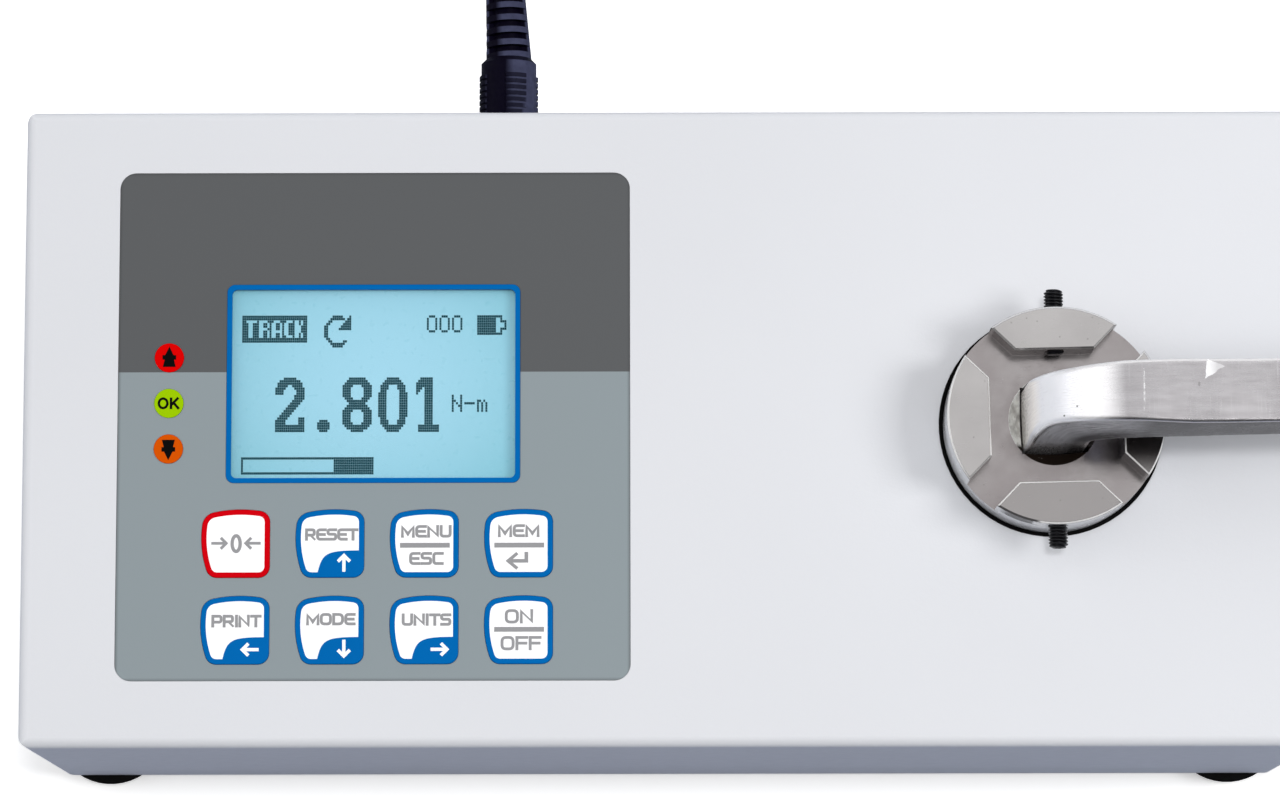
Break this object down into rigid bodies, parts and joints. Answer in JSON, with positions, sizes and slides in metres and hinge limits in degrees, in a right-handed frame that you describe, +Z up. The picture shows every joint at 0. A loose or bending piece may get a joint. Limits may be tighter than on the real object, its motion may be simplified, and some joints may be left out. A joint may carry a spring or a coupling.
{
  "type": "digital torque meter",
  "caption": "benchtop digital torque meter: flat box with keypad and display, a four-jaw chuck holding a bent square lever, rubber feet and a plug-in supply on its cord",
  "frame": {"origin": "on the drive axis of the chuck, in the plane that the feet stand on", "axes": "+X points to the right along the lever, +Y to the back wall with the sockets, +Z up"},
  "size_m": [0.3203, 0.21, 0.097],
  "materials": {
    "cover_paint": "fine satin light grey powder coat",
    "plate_metal": "plain zinc-plated sheet",
    "zinc_steel": "zinc-plated screw",
    "black_rubber": "matt black rubber",
    "panel_film": "printed polyester film, two greys",
    "blue_trim": "blue printed frame",
    "clear_pane": "clear window",
    "display_glass": "light blue backlit display",
    "lens_red": "red indicator lens",
    "lens_green": "green indicator lens",
    "lens_orange": "orange indicator lens",
    "lamp_clear": "clear lamp dome",
    "board_green": "green circuit board",
    "black_plastic": "black moulded plastic",
    "key_white": "white key with coloured outline",
    "brass_spacer": "plain brass",
    "ribbon_grey": "grey ribbon cable",
    "plug_white": "white connector housing",
    "battery_wrap": "blue shrink wrap",
    "raw_aluminium": "machined aluminium",
    "gauge_foil": "copper-coloured foil",
    "dark_steel": "blackened steel",
    "chuck_steel": "turned and milled steel, lightly tarnished",
    "lever_metal": "bright worn bar with scratches",
    "cord_black": "soft very dark navy plastic",
    "nickel": "nickel-plated contact"
  },
  "bodies": {
    "housing": {"top_cover": "cover_paint", "base_plate": "plate_metal", "base_screws": "zinc_steel", "spacer_screws": "zinc_steel", "rubber_feet": "black_rubber", "foot_screws": "zinc_steel", "keypad_overlay": "panel_film", "window_frame": "blue_trim", "display_window": "clear_pane", "lcd_glass": "display_glass", "lcd_bezel": "black_plastic", "lcd_backlight": "plug_white", "indicator_high": "lens_red", "indicator_ok": "lens_green", "indicator_low": "lens_orange", "indicator_lamps": "lamp_clear", "front_board": "board_green", "front_spacers": "brass_spacer", "key_switches": "black_plastic", "main_board": "board_green", "main_spacers": "brass_spacer", "board_parts": "black_plastic", "board_screws": "zinc_steel", "ribbon_cable": "ribbon_grey", "ribbon_plugs": "black_plastic", "sensor_cable": "ribbon_grey", "cable_plug": "plug_white", "battery_pack": "battery_wrap", "battery_strap": "plate_metal", "sensor_base": "raw_aluminium", "torque_sensor": "raw_aluminium", "strain_gauges": "gauge_foil", "sensor_screws": "dark_steel", "chuck": "chuck_steel", "chuck_screws": "dark_steel", "seal_ring": "black_rubber", "lever": "lever_metal", "port_board": "board_green", "power_socket": "black_plastic", "data_socket": "nickel", "data_socket_core": "black_plastic", "power_plug": "cord_black", "plug_relief": "cord_black", "power_cord": "cord_black", "cord_coil": "cord_black", "coil_tie": "black_plastic", "supply_cord": "cord_black", "supply_case": "black_plastic", "supply_pins": "nickel"},
    "key_zero": {"key_zero": "key_white"},
    "key_reset": {"key_reset": "key_white"},
    "key_menu": {"key_menu": "key_white"},
    "key_memory": {"key_memory": "key_white"},
    "key_print": {"key_print": "key_white"},
    "key_mode": {"key_mode": "key_white"},
    "key_units": {"key_units": "key_white"},
    "key_power": {"key_power": "key_white"},
    "grub_screw_back": {"grub_screw_back": "dark_steel"},
    "grub_screw_front": {"grub_screw_front": "dark_steel"}
  },
  "joints": [
    {"name": "press_zero", "type": "slide", "parent": "housing", "child": "key_zero", "axis": [0, 0, 1], "range_m": [-0.00035, 0], "stiffness_N_per_m": 3000},
    {"name": "press_reset", "type": "slide", "parent": "housing", "child": "key_reset", "axis": [0, 0, 1], "range_m": [-0.00035, 0], "stiffness_N_per_m": 3000},
    {"name": "press_menu", "type": "slide", "parent": "housing", "child": "key_menu", "axis": [0, 0, 1], "range_m": [-0.00035, 0], "stiffness_N_per_m": 3000},
    {"name": "press_memory", "type": "slide", "parent": "housing", "child": "key_memory", "axis": [0, 0, 1], "range_m": [-0.00035, 0], "stiffness_N_per_m": 3000},
    {"name": "press_print", "type": "slide", "parent": "housing", "child": "key_print", "axis": [0, 0, 1], "range_m": [-0.00035, 0], "stiffness_N_per_m": 3000},
    {"name": "press_mode", "type": "slide", "parent": "housing", "child": "key_mode", "axis": [0, 0, 1], "range_m": [-0.00035, 0], "stiffness_N_per_m": 3000},
    {"name": "press_units", "type": "slide", "parent": "housing", "child": "key_units", "axis": [0, 0, 1], "range_m": [-0.00035, 0], "stiffness_N_per_m": 3000},
    {"name": "press_power", "type": "slide", "parent": "housing", "child": "key_power", "axis": [0, 0, 1], "range_m": [-0.00035, 0], "stiffness_N_per_m": 3000},
    {"name": "grub_travel_back", "type": "slide", "parent": "housing", "child": "grub_screw_back", "axis": [-0.007, 1, 0], "range_m": [-0.0048, 0.0035]},
    {"name": "grub_travel_front", "type": "slide", "parent": "housing", "child": "grub_screw_front", "axis": [0.007, -1, 0], "range_m": [-0.0052, 0.0035]}
  ]
}
